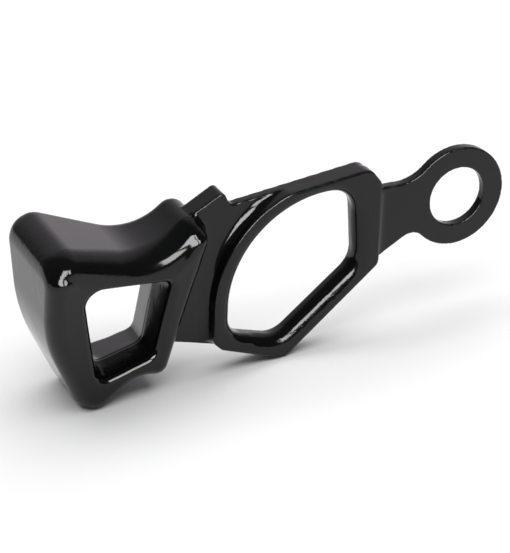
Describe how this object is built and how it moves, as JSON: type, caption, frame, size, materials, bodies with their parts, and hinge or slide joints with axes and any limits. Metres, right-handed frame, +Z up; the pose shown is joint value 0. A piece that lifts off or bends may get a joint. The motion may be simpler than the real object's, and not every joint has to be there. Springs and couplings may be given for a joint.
{
  "type": "rope ascender body",
  "caption": "Flat rope ascender body with a round carabiner eye, a raised collar round a D-shaped rope opening and a flared hollow friction block.",
  "frame": {"origin": "middle of the bounding box at its lowest level, where the block's foot and the plate's keel stand", "axes": "+X from the friction block towards the carabiner eye, +Y through the plate from its front to its back, +Z up the plate"},
  "size_m": [0.1292, 0.0314, 0.0485],
  "materials": {
    "plate_coat": "black gloss coating",
    "collar_coat": "black gloss coating",
    "pad_coat": "black gloss coating",
    "block_coat": "black gloss coating"
  },
  "bodies": {
    "root": {"core_plate": "plate_coat", "opening_collar": "collar_coat", "root_pad": "pad_coat", "block_front_half": "block_coat", "block_rear_half": "block_coat"}
  },
  "joints": []
}
